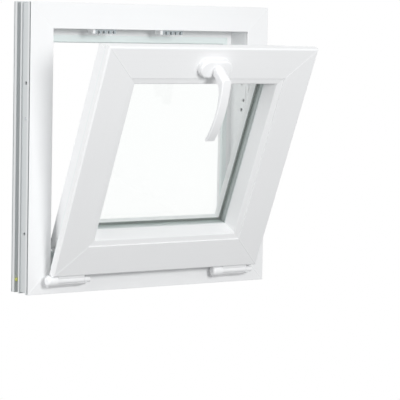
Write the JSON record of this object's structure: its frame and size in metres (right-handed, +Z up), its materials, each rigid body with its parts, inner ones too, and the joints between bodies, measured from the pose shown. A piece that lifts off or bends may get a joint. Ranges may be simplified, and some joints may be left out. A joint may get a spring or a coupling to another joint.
{
  "type": "hopper window",
  "caption": "White bottom-hung hopper window: mitred plastic frame, double-glazed sash tilted into the room on surface hinges, lever handle on its top rail.",
  "frame": {"origin": "on the underside of the sill's outdoor foot, in the middle of the window's width", "axes": "+X to the right seen from the room, +Y outdoors, +Z up"},
  "size_m": [0.6, 0.3393, 0.6],
  "materials": {
    "white_pvc": "satin white",
    "white_plastic": "moulded white",
    "white_hinge": "white powder coat",
    "white_handle": "white powder coat",
    "grey_gasket": "light grey seal",
    "pale_seal": "pale grey seal",
    "dark_seal": "dark grey seal",
    "clear_glass": "clear, faintly green",
    "spacer_bar": "dull mill finish",
    "zinc_steel": "zinc plated",
    "packer_plastic": "moulded"
  },
  "bodies": {
    "frame": {"frame_head": "white_pvc", "frame_sill": "white_pvc", "frame_left_jamb": "white_pvc", "frame_right_jamb": "white_pvc", "frame_gasket": "grey_gasket", "keep_left": "zinc_steel", "keep_right": "zinc_steel", "keep_ends": "white_plastic", "hinge_base_left": "white_hinge", "hinge_base_right": "white_hinge", "hinge_pin_left": "zinc_steel", "hinge_pin_right": "zinc_steel"},
    "sash": {"sash_top_rail": "white_pvc", "sash_bottom_rail": "white_pvc", "sash_left_stile": "white_pvc", "sash_right_stile": "white_pvc", "bead_top": "white_pvc", "bead_bottom": "white_pvc", "bead_left": "white_pvc", "bead_right": "white_pvc", "sash_gasket": "grey_gasket", "glazing_seal_inner": "pale_seal", "glazing_seal_outer": "dark_seal", "pane_inner": "clear_glass", "pane_outer": "clear_glass", "glass_spacer": "spacer_bar", "glass_sealant": "dark_seal", "setting_blocks": "packer_plastic", "lock_faceplate": "zinc_steel", "lock_cams": "zinc_steel", "hinge_leaf_left": "white_hinge", "hinge_leaf_right": "white_hinge", "handle_rosette": "white_handle"},
    "handle": {"handle_lever": "white_handle"}
  },
  "joints": [
    {"name": "sash_tilt", "type": "hinge", "parent": "frame", "child": "sash", "pos_m": [0, -0.0795, 0.0287], "axis": [1, 0, 0], "range_deg": [-23.3, 0]},
    {"name": "handle_turn", "type": "hinge", "parent": "sash", "child": "handle", "pos_m": [0, -0.27907, 0.47441], "axis": [0, -0.9184, -0.3955], "range_deg": [-90, 0]}
  ]
}
